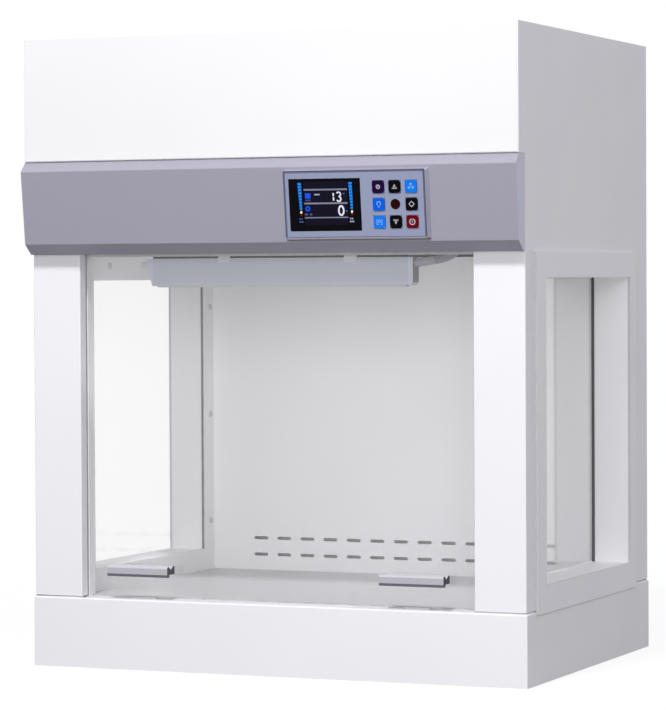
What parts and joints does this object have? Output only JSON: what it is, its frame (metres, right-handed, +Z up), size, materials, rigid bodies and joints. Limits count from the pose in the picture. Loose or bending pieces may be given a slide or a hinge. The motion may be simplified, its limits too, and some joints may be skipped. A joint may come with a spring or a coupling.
{
  "type": "ductless fume hood",
  "caption": "Ductless fume hood: a sheet-metal cabinet with a rising glass sash, side windows, a slotted rear baffle, a lamp, a leaning control panel, and a filter and fan in its head.",
  "frame": {"origin": "middle of the whole footprint, on the bench", "axes": "+X to the right as seen from the front, +Y to the back, +Z up"},
  "size_m": [0.606, 0.468, 0.72],
  "materials": {
    "cabinet_paint": "satin powder coat",
    "white_paint": "satin powder coat",
    "fascia_paint": "satin powder coat",
    "liner_paint": "satin powder coat",
    "trim_paint": "satin powder coat",
    "clear_glass": "polished",
    "dark_rubber": "matt",
    "bezel_plastic": "fine texture",
    "plate_film": "satin film",
    "display_film": "gloss",
    "receiver_film": "gloss",
    "violet_key": "gloss",
    "black_key": "gloss",
    "blue_key": "gloss",
    "red_key": "gloss",
    "board_resin": "matt",
    "handle_metal": "anodised",
    "screw_steel": "plated",
    "guide_plastic": "matt",
    "lamp_paint": "satin",
    "diffuser_plastic": "opal",
    "lamp_cap_plastic": "matt",
    "inner_steel": "galvanised",
    "filter_mat": "fibre mat",
    "filter_casing": "matt",
    "fan_plastic": "matt",
    "motor_paint": "satin",
    "supply_casing": "plain",
    "inlet_plastic": "matt"
  },
  "bodies": {
    "chassis": {"back_cover": "cabinet_paint", "base_cabinet": "cabinet_paint", "carbon_filter": "filter_casing", "ceiling_panel": "liner_paint", "control_bezel": "bezel_plastic", "control_board": "board_resin", "control_plate": "plate_film", "cover_screws": "screw_steel", "display_screen": "display_film", "exhaust_grille": "cabinet_paint", "fan_deck": "inner_steel", "fan_motor": "motor_paint", "fascia": "fascia_paint", "filter_frame": "inner_steel", "head_front_cover": "white_paint", "inlet_ring": "inner_steel", "lamp_boot": "lamp_cap_plastic", "lamp_clips": "screw_steel", "lamp_diffuser": "diffuser_plastic", "lamp_end_caps": "lamp_cap_plastic", "lamp_housing": "lamp_paint", "lamp_lead": "lamp_cap_plastic", "left_inner_liner": "liner_paint", "left_sash_guide": "guide_plastic", "left_side_panel": "cabinet_paint", "left_window_frame": "trim_paint", "left_window_gasket": "dark_rubber", "left_window_pane": "clear_glass", "left_window_reveal": "trim_paint", "liner_screws": "screw_steel", "motor_bracket": "inner_steel", "power_inlet": "inlet_plastic", "power_supply": "supply_casing", "pre_filter": "filter_mat", "rear_baffle": "liner_paint", "receiver_window": "receiver_film", "right_inner_liner": "liner_paint", "right_sash_guide": "guide_plastic", "right_side_panel": "cabinet_paint", "right_window_frame": "trim_paint", "right_window_gasket": "dark_rubber", "right_window_pane": "clear_glass", "right_window_reveal": "trim_paint", "sash_buffers": "dark_rubber", "top_cover": "cabinet_paint", "work_floor": "liner_paint"},
    "sash": {"sash_glass": "clear_glass", "left_handle": "handle_metal", "right_handle": "handle_metal", "handle_grips": "dark_rubber"},
    "fan": {"fan_wheel": "fan_plastic"},
    "lamp_key_cap": {"lamp_key": "violet_key"},
    "raise_key_cap": {"raise_key": "black_key"},
    "fan_key_cap": {"fan_key": "blue_key"},
    "light_key_cap": {"light_key": "blue_key"},
    "dim_key_cap": {"dim_key": "black_key"},
    "mute_key_cap": {"mute_key": "blue_key"},
    "lower_key_cap": {"lower_key": "black_key"},
    "power_key_cap": {"power_key": "red_key"}
  },
  "joints": [
    {"name": "sash_slide", "type": "slide", "parent": "chassis", "child": "sash", "axis": [0, 0, 1], "range_m": [0, 0.2]},
    {"name": "fan_spin", "type": "hinge", "parent": "chassis", "child": "fan", "pos_m": [0, 0.0319, 0.6], "axis": [0, 0, 1], "continuous": true},
    {"name": "lamp_key_press", "type": "slide", "parent": "chassis", "child": "lamp_key_cap", "axis": [0, 0.9935, 0.114], "range_m": [0, 0.0005], "stiffness_N_per_m": 2000, "springref_m": -0.0003},
    {"name": "raise_key_press", "type": "slide", "parent": "chassis", "child": "raise_key_cap", "axis": [0, 0.9935, 0.114], "range_m": [0, 0.0005], "stiffness_N_per_m": 2000, "springref_m": -0.0003},
    {"name": "fan_key_press", "type": "slide", "parent": "chassis", "child": "fan_key_cap", "axis": [0, 0.9935, 0.114], "range_m": [0, 0.0005], "stiffness_N_per_m": 2000, "springref_m": -0.0003},
    {"name": "light_key_press", "type": "slide", "parent": "chassis", "child": "light_key_cap", "axis": [0, 0.9935, 0.114], "range_m": [0, 0.0005], "stiffness_N_per_m": 2000, "springref_m": -0.0003},
    {"name": "dim_key_press", "type": "slide", "parent": "chassis", "child": "dim_key_cap", "axis": [0, 0.9935, 0.114], "range_m": [0, 0.0005], "stiffness_N_per_m": 2000, "springref_m": -0.0003},
    {"name": "mute_key_press", "type": "slide", "parent": "chassis", "child": "mute_key_cap", "axis": [0, 0.9935, 0.114], "range_m": [0, 0.0005], "stiffness_N_per_m": 2000, "springref_m": -0.0003},
    {"name": "lower_key_press", "type": "slide", "parent": "chassis", "child": "lower_key_cap", "axis": [0, 0.9935, 0.114], "range_m": [0, 0.0005], "stiffness_N_per_m": 2000, "springref_m": -0.0003},
    {"name": "power_key_press", "type": "slide", "parent": "chassis", "child": "power_key_cap", "axis": [0, 0.9935, 0.114], "range_m": [0, 0.0005], "stiffness_N_per_m": 2000, "springref_m": -0.0003}
  ]
}
